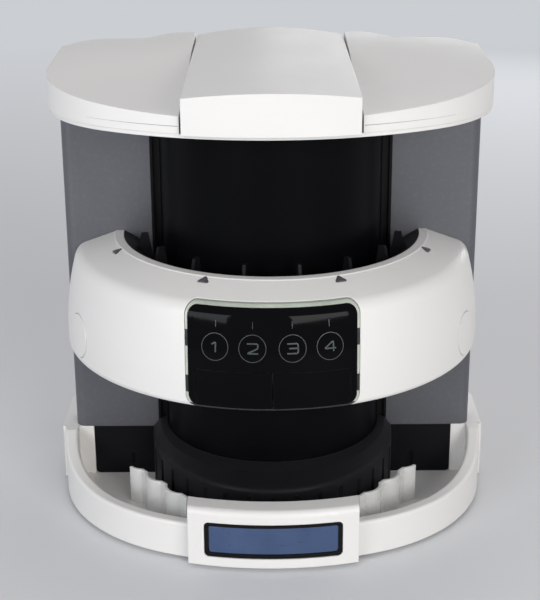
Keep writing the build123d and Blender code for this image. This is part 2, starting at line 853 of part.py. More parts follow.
# Upright channels between the drum and the side panels
with BuildPart() as guide_post_right:
    with BuildSketch(level(deck_z)):
        with Locations((post_x + post_w / 2, post_depth / 2)):
            Rectangle(post_w - seat_gap, post_depth)
        with Locations((post_x + post_w / 2, 0)):
            Rectangle(post_w / 2, 2 * post_groove, mode=Mode.SUBTRACT)
    extrude(amount=top_deck_z - deck_z)
guide_post_right.part.label = "guide_post_right"
export_step(guide_post_right.part, "parts/guide_post_right.step")

with BuildPart() as guide_post_left:
    mirror(guide_post_right.part, about=Plane.YZ)
guide_post_left.part.label = "guide_post_left"
export_step(guide_post_left.part, "parts/guide_post_left.step")

# Grey upright panels, bent round at their outer edge
with BuildPart() as side_panel_right:
    with BuildSketch(level(deck_z)) as panel_plan:
        with BuildLine():
            Polyline(
                (panel_x, 0),
                (housing_half_w, 0),
                (housing_half_w, panel_return),
                (housing_half_w - panel_t, panel_return),
                (housing_half_w - panel_t, panel_t),
                (panel_x, panel_t),
                close=True,
            )
        make_face()
        outer_bend = panel_plan.vertices().sort_by_distance((housing_half_w, 0, 0))[0]
        fillet(outer_bend, radius=panel_round)
        inner_bend = panel_plan.vertices().sort_by_distance((housing_half_w - panel_t, panel_t, 0))[0]
        fillet(inner_bend, radius=panel_round - panel_t)
    extrude(amount=top_deck_z - deck_z)
side_panel_right.part.label = "side_panel_right"
export_step(side_panel_right.part, "parts/side_panel_right.step")

with BuildPart() as side_panel_left:
    mirror(side_panel_right.part, about=Plane.YZ)
side_panel_left.part.label = "side_panel_left"
export_step(side_panel_left.part, "parts/side_panel_left.step")

# White housing at the back, with upright vents and bosses for the control board
board_y = tower_rear_y - housing_wall - boss_l

with BuildPart() as rear_housing:
    with BuildSketch(level(deck_z)):
        housing_face()
        with Locations((0, panel_return / 2)):
            Rectangle(4 * housing_half_w, panel_return + seat_gap, mode=Mode.SUBTRACT)
    extrude(amount=top_deck_z - deck_z)
    with BuildSketch(level(deck_z)):
        housing_face()
        offset(amount=-housing_wall)
    extrude(amount=top_deck_z, mode=Mode.SUBTRACT)
    with BuildSketch(facing(tower_rear_y)):
        with Locations((0, vent_z)):
            with GridLocations(vent_pitch, 0, vents, 1):
                SlotOverall(vent_l, vent_w, rotation=90)
    extrude(amount=housing_wall + seat_gap, mode=Mode.SUBTRACT)
    with BuildSketch(facing(tower_rear_y)):
        with Locations((0, board_z)):
            with GridLocations(board_w - 4 * screw_r, board_l - 4 * screw_r, 2, 2):
                Circle(boss_r)
    extrude(amount=housing_wall + boss_l)
    with BuildSketch(facing(tower_rear_y)):
        with GridLocations(2 * screw_x, 0, 2, 1):
            with Locations((0, deck_z + screw_inset), (0, top_deck_z - screw_inset)):
                Circle(screw_r / 2 + run_gap)
    extrude(amount=housing_wall + seat_gap, mode=Mode.SUBTRACT)
rear_housing.part.label = "rear_housing"
export_step(rear_housing.part, "parts/rear_housing.step")

# Screws of the housing, seen from behind
with BuildPart() as housing_screws:
    with BuildSketch(facing(tower_rear_y)):
        with GridLocations(2 * screw_x, 0, 2, 1):
            with Locations((0, deck_z + screw_inset), (0, top_deck_z - screw_inset)):
                Circle(screw_r)
    extrude(amount=-screw_head_h)
    with BuildSketch(facing(tower_rear_y + screw_head_h)):
        with GridLocations(2 * screw_x, 0, 2, 1):
            with Locations((0, deck_z + screw_inset), (0, top_deck_z - screw_inset)):
                RegularPolygon(screw_r / 2, 6)
    extrude(amount=screw_head_h / 2, mode=Mode.SUBTRACT)
    with BuildSketch(facing(tower_rear_y)):
        with GridLocations(2 * screw_x, 0, 2, 1):
            with Locations((0, deck_z + screw_inset), (0, top_deck_z - screw_inset)):
                Circle(screw_r / 2)
    extrude(amount=2 * housing_wall)
housing_screws.part.label = "housing_screws"
export_step(housing_screws.part, "parts/housing_screws.step")

# Control board on the housing's bosses
with BuildPart() as control_board:
    with BuildSketch(facing(board_y)):
        with Locations((0, board_z)):
            Rectangle(board_w, board_l)
    extrude(amount=board_t)
    with BuildSketch(facing(board_y - board_t)):
        with Locations((0, board_z)):
            with GridLocations(board_w / 3, board_l / 4, 2, 3):
                Rectangle(chip_w, chip_w)
    extrude(amount=chip_h)
control_board.part.label = "control_board"
export_step(control_board.part, "parts/control_board.step")

# Steel columns that carry the top deck
with BuildPart() as frame_column_right:
    with BuildSketch(level(deck_z)):
        with Locations((column_x, column_y)):
            Rectangle(column_w, column_d)
        with Locations((column_x, column_y + column_t)):
            Rectangle(column_w - 2 * column_t, column_d, mode=Mode.SUBTRACT)
    extrude(amount=top_deck_z - deck_z)
frame_column_right.part.label = "frame_column_right"
export_step(frame_column_right.part, "parts/frame_column_right.step")

with BuildPart() as frame_column_left:
    mirror(frame_column_right.part, about=Plane.YZ)
frame_column_left.part.label = "frame_column_left"
export_step(frame_column_left.part, "parts/frame_column_left.step")

# Deck under the top covers
with BuildPart() as top_deck:
    with BuildSketch(level(top_deck_z)):
        top_face()
        offset(amount=-deck_inset)
    extrude(amount=deck_t)
top_deck.part.label = "top_deck"
export_step(top_deck.part, "parts/top_deck.step")

# Side covers of the top, dished down to the front centre
dish_z = cover_z + dish_low_h + dish_r
rim_top_z = cover_z + top_rim_h
bend_z = rim_top_z - dish_bend_r
bend_at = sqrt((dish_r + dish_bend_r) ** 2 - (dish_z - bend_z) ** 2)
dish_share = dish_r / (dish_r + dish_bend_r)
dish_edge = (dish_share * bend_at, dish_z - dish_share * (dish_z - bend_z))
dish_axis = Axis((0, axis_y + dish_y, 0), (0, 0, 1))

with BuildPart() as dish_form:
    with BuildSketch(Plane(origin=(0, axis_y + dish_y, 0), x_dir=(1, 0, 0), z_dir=(0, -1, 0))):
        with BuildLine():
            RadiusArc((0, dish_z - dish_r), dish_edge, -dish_r)
            RadiusArc(dish_edge, (bend_at, rim_top_z), dish_bend_r)
            Polyline(
                (bend_at, rim_top_z),
                (dish_r, rim_top_z),
                (dish_r, 2 * cover_z),
                (0, 2 * cover_z),
                (0, dish_z - dish_r),
            )
        make_face()
    revolve(axis=dish_axis)

with BuildPart() as top_cover_right:
    with BuildSketch(level(cover_z)):
        top_face()
        with Locations((-top_half_w, 0)):
            Rectangle(2 * (top_half_w + centre_half_w + cover_seam), 4 * top_half_w, mode=Mode.SUBTRACT)
    extrude(amount=2 * top_rim_h)
    add(dish_form.part, mode=Mode.SUBTRACT)
    with BuildSketch(level(cover_z)):
        top_face()
        with Locations((-top_half_w, 0)):
            Rectangle(2 * (top_half_w + centre_half_w + cover_seam), 4 * top_half_w, mode=Mode.SUBTRACT)
        offset(amount=-top_wall)
    hollow = extrude(amount=top_rim_h, mode=Mode.PRIVATE)
    add(hollow - dish_form.part.moved(Location((0, 0, -top_wall))), mode=Mode.SUBTRACT)
top_cover_right.part.label = "top_cover_right"
export_step(top_cover_right.part, "parts/top_cover_right.step")

with BuildPart() as top_cover_left:
    mirror(top_cover_right.part, about=Plane.YZ)
top_cover_left.part.label = "top_cover_left"
export_step(top_cover_left.part, "parts/top_cover_left.step")


def centre_body(inset, rise):
    """Solid under the crowned surface of the centre cover, drawn in from its sides."""
    crown_z = cover_z + centre_side_h - inset - sqrt(centre_crown_r**2 - centre_half_w**2)
    with BuildPart() as form:
        with BuildSketch(level(cover_z)):
            with Locations((0, front_arc_y)):
                Circle(front_arc_r + centre_proud - inset)
            with Locations((0, centre_rear_y - centre_rear_r)):
                Circle(centre_rear_r - inset, mode=Mode.INTERSECT)
            Rectangle(2 * (centre_half_w - inset), 4 * top_half_w, mode=Mode.INTERSECT)
        extrude(amount=rise)
        with BuildSketch(facing(2 * centre_rear_y)):
            with Locations((0, crown_z)):
                Circle(centre_crown_r)
        extrude(amount=4 * top_half_w, mode=Mode.INTERSECT)
    return form.part


# Centre cover, crowned across, proud of the side covers at the front
centre_high = 2 * centre_side_h
centre_shell = centre_body(0, centre_high)
centre_hollow = centre_body(top_wall, centre_high)

with BuildPart() as top_cover_centre:
    add(centre_shell)
    add(centre_hollow, mode=Mode.SUBTRACT)
top_cover_centre.part.label = "top_cover_centre"
export_step(top_cover_centre.part, "parts/top_cover_centre.step")

# Collar: a half ring moulding, open towards the drum
lens_pocket = skin_panel(
    lens_proud,
    lens_sink + seat_gap,
    lens_half_w + seat_gap,
    lens_low_z - seat_gap,
    lens_high_z + seat_gap,
    lens_corner_r,
)
display_y = -(collar_lip_r + collar_lip_w + display_back)

cap_turn = radians(cap_angle)
cap_plane = Plane(origin=(0, axis_y, cap_z), z_dir=(sin(cap_turn), -cos(cap_turn), 0))
cap_skin = collar_skin(overrun, cap_sink + seat_gap, cap_angle, cap_swing)
with BuildPart() as cap_pocket:
    add(cap_skin)
    with BuildSketch(cap_plane):
        Circle(cap_r + seat_gap)
    extrude(amount=2 * collar_r, mode=Mode.INTERSECT)

with BuildPart() as lamp_holes:
    with BuildSketch(level(collar_top_z - lamp_sink)):
        lamp_faces()
        offset(amount=run_gap)
    extrude(amount=2 * lamp_sink)

with BuildPart() as collar_shell:
    with BuildSketch(radial(-90)):
        collar_face()
    revolve(axis=drum_axis, revolution_arc=180)
    with BuildSketch(radial(-90)):
        with Locations((-collar_wall, -collar_wall)):
            collar_face()
        with Locations((collar_r, collar_z + collar_wall + collar_h)):
            Rectangle(2 * collar_r, 2 * collar_h, mode=Mode.INTERSECT)
    revolve(axis=drum_axis, revolution_arc=180, mode=Mode.SUBTRACT)
    add(lens_pocket, mode=Mode.SUBTRACT)
    with BuildSketch(facing(display_y)):
        front_window(key_half_w + 2 * key_gap, key_low_z - key_gap, key_high_z + key_gap, key_gap)
        front_window(window_half_w, window_low_z, window_high_z, collar_wall)
    extrude(amount=collar_r, mode=Mode.SUBTRACT)
    add(lamp_holes.part, mode=Mode.SUBTRACT)
    add(cap_pocket.part, mode=Mode.SUBTRACT)
    mirror(cap_pocket.part, about=Plane.YZ, mode=Mode.SUBTRACT)
collar_shell.part.label = "collar_shell"
export_step(collar_shell.part, "parts/collar_shell.step")

# Floor of the collar, which carries the guide
with BuildPart() as collar_floor:
    with BuildSketch(level(collar_z)):
        Circle(collar_lip_r)
        Circle(throat_r, mode=Mode.SUBTRACT)
        with Locations((0, collar_r)):
            Rectangle(4 * collar_r, 2 * collar_r, mode=Mode.SUBTRACT)
    extrude(amount=collar_wall)
collar_floor.part.label = "collar_floor"
export_step(collar_floor.part, "parts/collar_floor.step")

# Indicator lamps over the four tracks
with BuildPart() as indicator_lamps:
    with BuildSketch(level(collar_top_z - lamp_sink)):
        lamp_faces()
    extrude(amount=lamp_sink + lamp_proud)
indicator_lamps.part.label = "indicator_lamps"
export_step(indicator_lamps.part, "parts/indicator_lamps.step")
# Entrance guide: funnel and throat, eight tapered fins, and cheeks for the feed rollers
funnel_bend_r = lip_fit_r - guide_bend_w
funnel_bend_z = collar_top_z - guide_bend_drop
throat_top_z = collar_top_z - guide_throat_drop
guide_low_z = collar_z + collar_wall
flange_z = collar_top_z - collar_wall

with BuildPart() as entrance_guide:
    with BuildSketch(radial(-90)):
        with BuildLine():
            Polyline(
                (throat_r, guide_low_z),
                (throat_r, throat_top_z),
                (funnel_bend_r, funnel_bend_z),
                (lip_fit_r, collar_top_z),
                (lip_fit_r, flange_z),
                (lip_fit_r + guide_flange, flange_z),
                (lip_fit_r + guide_flange, flange_z - guide_wall),
                (funnel_bend_r + guide_wall, funnel_bend_z - guide_wall),
                (throat_r + guide_wall, throat_top_z - guide_wall / 2),
                (throat_r + guide_wall, guide_low_z),
                close=True,
            )
        make_face()
    revolve(axis=drum_axis, revolution_arc=180)
    for angle in fin_angles:
        with BuildSketch(radial(angle)):
            with BuildLine():
                Polyline(
                    (fin_tip_r, collar_top_z + fin_rise),
                    (fin_tip_r + fin_top_w, collar_top_z + fin_rise),
                    (throat_r + fin_foot_w + fin_top_w, funnel_bend_z - guide_wall / 2),
                    (throat_r + guide_wall / 2, throat_top_z - guide_wall / 2),
                    (throat_r + guide_wall, throat_top_z + guide_wall),
                    close=True,
                )
            make_face()
        extrude(amount=fin_t / 2, both=True)
    for angle in track_angles:
        for side in (-1, 1):
            near = side * cheek_space / 2 if side > 0 else -cheek_space / 2 - cheek_t
            with BuildSketch(radial(angle).offset(near)):
                with Locations((throat_r + guide_wall / 2 + cheek_w / 2, (drive_z + idler_z) / 2)):
                    Rectangle(cheek_w, idler_z - drive_z + cheek_w)
                with Locations((roller_axis_r, drive_z), (roller_axis_r, idler_z)):
                    Circle(shaft_r + run_gap, mode=Mode.SUBTRACT)
            extrude(amount=cheek_t)
    for angle in track_angles:
        with BuildSketch(radial(angle).offset(-cheek_space / 2)):
            with Locations((throat_r, (drive_z + idler_z) / 2)):
                Rectangle(4 * guide_wall, idler_z - drive_z + 2 * (roller_r + belt_t) + guide_wall)
        extrude(amount=cheek_space, mode=Mode.SUBTRACT)
entrance_guide.part.label = "entrance_guide"
export_step(entrance_guide.part, "parts/entrance_guide.step")

# Feed: for each track a drive roller below, an idler above and a flat belt round both
for number, angle in enumerate(track_angles, start=1):
    inward = 1 if angle > 0 else -1
    shaft_end = cheek_space / 2 + cheek_t
    with BuildPart() as feed_roller:
        with BuildSketch(radial(angle).offset(-roller_w / 2)):
            with Locations((roller_axis_r, drive_z)):
                Circle(roller_r)
        extrude(amount=roller_w)
        with BuildSketch(radial(angle).offset(-inward * shaft_end)):
            with Locations((roller_axis_r, drive_z)):
                Circle(shaft_r)
        extrude(amount=inward * (shaft_end + feed_motor_at + motor_grip))
    feed_roller.part.label = f"feed_roller_{number}"
    export_step(feed_roller.part, f"parts/feed_roller_{number}.step")

    with BuildPart() as idler_roller:
        with BuildSketch(radial(angle)):
            with Locations((roller_axis_r, idler_z)):
                Circle(roller_r)
        extrude(amount=roller_w / 2, both=True)
        with BuildSketch(radial(angle)):
            with Locations((roller_axis_r, idler_z)):
                Circle(shaft_r)
        extrude(amount=shaft_end, both=True)
    idler_roller.part.label = f"idler_roller_{number}"
    export_step(idler_roller.part, f"parts/idler_roller_{number}.step")

with BuildPart() as feed_belts:
    for angle in track_angles:
        with BuildSketch(radial(angle)):
            with Locations((roller_axis_r, (drive_z + idler_z) / 2)):
                SlotCenterToCenter(idler_z - drive_z, 2 * (roller_r + run_gap + belt_t), rotation=90)
                SlotCenterToCenter(
                    idler_z - drive_z, 2 * (roller_r + run_gap), rotation=90, mode=Mode.SUBTRACT
                )
        extrude(amount=belt_w / 2, both=True)
feed_belts.part.label = "feed_belts"
export_step(feed_belts.part, "parts/feed_belts.step")

with BuildPart() as feed_motors:
    for angle in track_angles:
        inward = 1 if angle > 0 else -1
        with BuildSketch(radial(angle).offset(inward * feed_motor_at)):
            with Locations((roller_axis_r, drive_z)):
                Circle(feed_motor_r)
            with Locations((roller_axis_r, (drive_z + guide_low_z + board_t) / 2)):
                Rectangle(feed_motor_r, drive_z - guide_low_z - board_t)
        extrude(amount=inward * feed_motor_l)
        with BuildSketch(radial(angle).offset(inward * feed_motor_at)):
            with Locations((roller_axis_r, drive_z)):
                Circle(shaft_r + run_gap)
        extrude(amount=inward * (motor_grip + seat_gap), mode=Mode.SUBTRACT)
feed_motors.part.label = "feed_motors"
export_step(feed_motors.part, "parts/feed_motors.step")

# Ring of lamps that wipes the plates on their way out
with BuildPart() as erase_lamp_board:
    with BuildSketch(level(guide_low_z)):
        Circle(erase_outer_r)
        Circle(erase_inner_r, mode=Mode.SUBTRACT)
        with Locations((0, collar_r)):
            Rectangle(4 * collar_r, 2 * collar_r, mode=Mode.SUBTRACT)
    extrude(amount=board_t)
    with BuildSketch(level(guide_low_z + board_t)):
        with PolarLocations(
            (erase_outer_r + erase_inner_r) / 2,
            erase_lamps,
            start_angle=180 + erase_margin,
            angular_range=180 - 2 * erase_margin,
            endpoint=True,
        ):
            Rectangle(chip_h, chip_h)
    extrude(amount=board_t)
erase_lamp_board.part.label = "erase_lamp_board"
export_step(erase_lamp_board.part, "parts/erase_lamp_board.step")

# Display: gloss lens with a translucent border, and the board behind it
lens_sheet = skin_panel(
    lens_proud,
    lens_sink,
    lens_half_w - gasket_w,
    lens_low_z + gasket_w,
    lens_high_z - gasket_w,
    lens_corner_r - gasket_w,
)

with BuildPart() as display_lens:
    add(lens_sheet)
    with BuildSketch(facing(0)):
        with Locations((0, key_high_z / 2 + key_gap)):
            Rectangle(2 * (key_half_w + key_gap), key_high_z)
    extrude(amount=2 * collar_r, mode=Mode.SUBTRACT)
display_lens.part.label = "display_lens"
export_step(display_lens.part, "parts/display_lens.step")

gasket_sheet = skin_panel(gasket_proud, lens_sink, lens_half_w, lens_low_z, lens_high_z, lens_corner_r)

with BuildPart() as lens_gasket:
    add(gasket_sheet)
    with BuildSketch(facing(0)):
        front_window(
            lens_half_w - gasket_w + run_gap,
            lens_low_z + gasket_w - run_gap,
            lens_high_z - gasket_w + run_gap,
            lens_corner_r - gasket_w,
        )
    extrude(amount=2 * collar_r, mode=Mode.SUBTRACT)
lens_gasket.part.label = "lens_gasket"
export_step(lens_gasket.part, "parts/lens_gasket.step")

display_z = guide_low_z
key_back_y = sqrt((collar_r - key_t) ** 2 - (key_half_w / 2) ** 2)
plunger_l = key_back_y + display_y - board_t - key_travel - 4 * seat_gap

with BuildPart() as display_board:
    with BuildSketch(facing(display_y)):
        with Locations((0, (display_z + window_high_z) / 2)):
            Rectangle(2 * window_half_w, window_high_z - display_z)
    extrude(amount=board_t)
    with BuildSketch(facing(display_y - board_t)):
        front_window(window_half_w - collar_wall, window_low_z, window_high_z, collar_wall / 2)
    extrude(amount=screen_t)
    with BuildSketch(facing(display_y - board_t)):
        with Locations((0, (key_low_z + key_high_z) / 2)):
            with GridLocations(key_half_w, 0, 2, 1):
                Rectangle(chip_h * 2, chip_h * 2)
    extrude(amount=plunger_l)
display_board.part.label = "display_board"
export_step(display_board.part, "parts/display_board.step")

# Two push keys under the display
key_sheet = skin_panel(lens_proud, key_t, key_half_w, key_low_z, key_high_z, key_gap)

with BuildPart() as key_right:
    add(key_sheet)
    with BuildSketch(level(0)):
        with Locations((-collar_r + key_split / 2, 0)):
            Rectangle(2 * collar_r, 4 * collar_r)
    extrude(amount=2 * collar_top_z, mode=Mode.SUBTRACT)
key_right.part.label = "key_right"
export_step(key_right.part, "parts/key_right.step")

with BuildPart() as key_left:
    mirror(key_right.part, about=Plane.YZ)
key_left.part.label = "key_left"
export_step(key_left.part, "parts/key_left.step")

# Round snap-in caps at the collar's sides
cap_sheet = collar_skin(cap_proud, cap_sink, cap_angle, cap_swing)

with BuildPart() as side_cap_right:
    add(cap_sheet)
    with BuildSketch(cap_plane):
        Circle(cap_r)
    extrude(amount=2 * collar_r, mode=Mode.INTERSECT)
side_cap_right.part.label = "side_cap_right"
export_step(side_cap_right.part, "parts/side_cap_right.step")

with BuildPart() as side_cap_left:
    mirror(side_cap_right.part, about=Plane.YZ)
side_cap_left.part.label = "side_cap_left"
export_step(side_cap_left.part, "parts/side_cap_left.step")

# Power supply on the pan
with BuildPart() as power_supply:
    with BuildSketch(level(foot_h + pan_t)):
        with Locations((0, (tray_rear_y + base_reach - base_wall) / 2)):
            Rectangle(supply_w, supply_d)
    extrude(amount=supply_h)
power_supply.part.label = "power_supply"
export_step(power_supply.part, "parts/power_supply.step")

# Mains inlet, rocker switch and data sockets in the rear wall
with BuildPart() as power_inlet:
    with BuildSketch(facing(base_reach + fitting_flange_t)):
        with Locations((inlet_x, fittings_z)):
            RectangleRounded(inlet_w + 2 * fitting_flange, inlet_h + 2 * fitting_flange, fitting_flange)
    extrude(amount=fitting_flange_t)
    with BuildSketch(facing(base_reach)):
        with Locations((inlet_x, fittings_z)):
            Rectangle(inlet_w, inlet_h)
    extrude(amount=inlet_depth)
    with BuildSketch(facing(base_reach + fitting_flange_t)):
        with Locations((inlet_x, fittings_z)):
            Rectangle(inlet_w - 2 * inlet_wall, inlet_h - 2 * inlet_wall)
    extrude(amount=fitting_flange_t + inlet_depth - inlet_wall, mode=Mode.SUBTRACT)
    with BuildSketch(facing(base_reach - inlet_depth + inlet_wall)):
        with Locations(*[(inlet_x + step * pin_pitch, fittings_z) for step in (-1, 0, 1)]):
            Rectangle(pin_w, pin_h)
    extrude(amount=-pin_l)
power_inlet.part.label = "power_inlet"
export_step(power_inlet.part, "parts/power_inlet.step")

rocker_r = switch_h / 2 - fitting_flange_t - seat_gap

with BuildPart() as switch_frame:
    with BuildSketch(facing(base_reach + fitting_flange_t)):
        with Locations((switch_x, fittings_z)):
            RectangleRounded(switch_w + 2 * fitting_flange, switch_h + 2 * fitting_flange, fitting_flange)
    extrude(amount=fitting_flange_t)
    with BuildSketch(facing(base_reach)):
        with Locations((switch_x, fittings_z)):
            Rectangle(switch_w, switch_h)
    extrude(amount=switch_t)
    with BuildSketch(facing(base_reach + fitting_flange_t)):
        with Locations((switch_x, fittings_z)):
            Rectangle(switch_w - 2 * fitting_flange_t, switch_h - 2 * fitting_flange_t)
    extrude(amount=switch_t, mode=Mode.SUBTRACT)
switch_frame.part.label = "switch_frame"
export_step(switch_frame.part, "parts/switch_frame.step")

# Rocker: a round body that tilts about a cross axis, with two flats that meet at its middle
rocker_w = switch_w - 2 * fitting_flange_t - 2 * seat_gap
rocker_plane = Plane(
    origin=(switch_x - rocker_w / 2, axis_y + base_reach, fittings_z), x_dir=(0, 1, 0), z_dir=(1, 0, 0)
)

with BuildPart() as power_switch:
    with BuildSketch(rocker_plane):
        Circle(rocker_r)
        Rectangle(rocker_t, 2 * rocker_r, rotation=rocker_tilt, mode=Mode.INTERSECT)
    extrude(amount=rocker_w)
power_switch.part.label = "power_switch"
export_step(power_switch.part, "parts/power_switch.step")

with BuildPart() as data_ports:
    with BuildSketch(facing(base_reach + fitting_flange_t)):
        with Locations((port_x - port_space / 2, fittings_z), (port_x + port_space / 2, fittings_z)):
            Rectangle(port_w, port_h)
            Rectangle(port_w - 2 * fitting_flange_t, port_h - 2 * fitting_flange_t, mode=Mode.SUBTRACT)
    extrude(amount=port_depth)
    with BuildSketch(facing(base_reach + fitting_flange_t - port_depth)):
        with Locations((port_x - port_space / 2, fittings_z), (port_x + port_space / 2, fittings_z)):
            Rectangle(port_w, port_h)
    extrude(amount=fitting_flange_t)
data_ports.part.label = "data_ports"
export_step(data_ports.part, "parts/data_ports.step")
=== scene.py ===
"""Looks of a bench-top phosphor plate scanner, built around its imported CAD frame."""

import json
import math

import bmesh
import bpy
from mathutils import Euler, Matrix, Vector
from mathutils.bvhtree import BVHTree


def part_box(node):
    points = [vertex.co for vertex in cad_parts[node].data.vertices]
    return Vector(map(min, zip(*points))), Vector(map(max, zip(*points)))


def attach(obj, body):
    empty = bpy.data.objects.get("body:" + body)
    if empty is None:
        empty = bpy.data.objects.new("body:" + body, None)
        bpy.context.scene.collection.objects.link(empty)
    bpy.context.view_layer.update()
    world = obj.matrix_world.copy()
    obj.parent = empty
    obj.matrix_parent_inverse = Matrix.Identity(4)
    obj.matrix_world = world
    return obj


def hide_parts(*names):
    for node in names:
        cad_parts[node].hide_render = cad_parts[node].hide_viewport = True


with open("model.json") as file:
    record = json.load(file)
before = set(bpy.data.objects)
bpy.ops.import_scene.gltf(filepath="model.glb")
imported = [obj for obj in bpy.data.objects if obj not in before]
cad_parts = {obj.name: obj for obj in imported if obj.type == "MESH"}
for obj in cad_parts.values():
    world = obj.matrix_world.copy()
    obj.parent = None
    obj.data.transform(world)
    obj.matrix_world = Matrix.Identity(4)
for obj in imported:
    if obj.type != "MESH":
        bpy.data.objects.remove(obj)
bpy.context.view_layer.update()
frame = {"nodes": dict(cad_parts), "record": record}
scene = bpy.context.scene

# Places on the object, in metres and in the row frame
AXIS_Y = sum(p[1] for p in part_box("lower_drum")) / 2
COLLAR_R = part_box("collar_shell")[1].x

# Printed marks on the lens: four ringed numbers with a short line above each
MARK_ANGLES = (-14.5, -5.0, 5.0, 14.5)
MARK_Z = 0.1935
RING_R = 0.0103
RING_POINTS = 72
MARK_LINE = 0.00050
NUMBER_LINE = 0.00110
NUMBER_H = 0.0080
NUMBER_W = 0.0090
NUMBER_CORNER = 0.00128
TICK_LINE = 0.00040
TICK_LOW = 0.0045
TICK_HIGH = 0.0095
MARK_PROUD = 0.00004

# Seam round the front of each top cover, fading towards the side: a grey line of painted shade in
# the seam
SEAM_UP = 0.0058
SEAM_ANGLES = (24.9, 51.0)
SEAM_LINE = 0.00055
SEAM_END_LINE = 0.00012
SEAM_POINTS = 40

# Lamp lenses, from rim to crown: share of the outline, and rise over the collar
LAMP_RINGS = ((1.01, -0.0015), (1.01, 0.0001), (0.95, 0.00028), (0.55, 0.00045))
LAMP_CROWN = 0.0005
LAMP_PROBE = 1.25
LAMP_ANGLES = (-67.5, -22.5, 22.5, 67.5)
SAME_LEVEL = 0.00001
PLACE_DIGITS = 5

# Floor, background and soft light all round. The floor runs out into the background
FLOOR_SIZE = 12.0
FLOOR_COLOUR = (0.70, 0.71, 0.73, 1.0)
FLOOR_ROUGH = 0.7
FLOOR_FADE_START = 0.6
FLOOR_FADE_END = 2.4
BACKDROP = (0.65, 0.67, 0.70, 1.0)
BACKDROP_STRENGTH = 0.92
SKY_COLOUR = (0.84, 0.84, 0.86, 1.0)
SKY_STRENGTH = 0.52

# Lamps, all aimed at one place: name, place, width, height, power and colour
LIGHT_AIM = (0.0, 0.0, 0.2)
LIGHTS = (
    ("key_light", (1.0, -2.1, 0.88), 1.3, 0.8, 24.5, (1.0, 0.98, 0.95)),
    ("fill_light", (-1.4, -1.8, 0.85), 1.2, 0.8, 19.0, (0.92, 0.96, 1.0)),
    ("top_light", (0.1, 0.3, 2.3), 1.4, 1.0, 3.0, (1.0, 0.93, 0.87)),
    ("rim_light", (0.7, 2.2, 0.45), 1.5, 0.5, 10.0, (0.97, 0.98, 1.0)),
)

# The photograph's camera: metres, degrees, and millimetres for the lens and sensor
CAMERA_PLACE = (-0.0025, AXIS_Y - 1.1353, 0.5796)
CAMERA_PITCH = 19.83
CAMERA_YAW = 0.05
CAMERA_ROLL = 0.334
CAMERA_LENS = 84.0
CAMERA_SENSOR = 36.0
CAMERA_NEAR = 0.05

# Patterns in the finishes: noise scales, and the noise values between which an effect grows
DUST_SCALE = 260.0
DUST_FROM = 0.52
DUST_TO = 0.78
# Patches of lighter edge: wear, and a painted highlight on the gloss lens
EDGE_PATCH_SCALE = 120.0
EDGE_PATCH_FROM = 0.4
EDGE_PATCH_TO = 0.6
EDGE_PATCH_LEAST = 0.2
EDGE_FULL = 0.72
EDGE_NONE = 0.97
EDGE_SAMPLES = 6
LEAST_ROUGH = 0.02
LAST_BAND_H = 0.02

# Sockets of the colour mix node
MIX_SHARE = 0
MIX_FIRST = 6
MIX_SECOND = 7
MIX_RESULT = 2


# Materials
def add_node(tree, kind, values=(), **settings):
    """Adds a shader node, sets its options, then fills or links its inputs."""
    made = tree.nodes.new(kind)
    for key, value in settings.items():
        setattr(made, key, value)
    for key, value in dict(values).items():
        socket = made.inputs[key]
        if isinstance(value, bpy.types.NodeSocket):
            tree.links.new(value, socket)
        else:
            socket.default_value = value
    return made


def noise(tree, place, scale, detail=3.0, rough=0.5):
    return add_node(
        tree,
        "ShaderNodeTexNoise",
        {"Vector": place, "Scale": scale, "Detail": detail, "Roughness": rough},
    ).outputs["Fac"]


def spread(tree, fac, low, high, start=0.3, end=0.7):
    """Maps a noise value from start..end to low..high."""
    return add_node(
        tree,
        "ShaderNodeMapRange",
        {"Value": fac, "From Min": start, "From Max": end, "To Min": low, "To Max": high},
    ).outputs["Result"]


def blend_colours(tree, share, first, second, **settings):
    values = {MIX_SHARE: share, MIX_FIRST: first, MIX_SECOND: second}
    mixed = add_node(tree, "ShaderNodeMix", values, data_type="RGBA", **settings)
    return mixed.outputs[MIX_RESULT]


def rgba(colour, factor=1.0):
    return tuple(min(1.0, c * factor) for c in colour) + (1.0,)


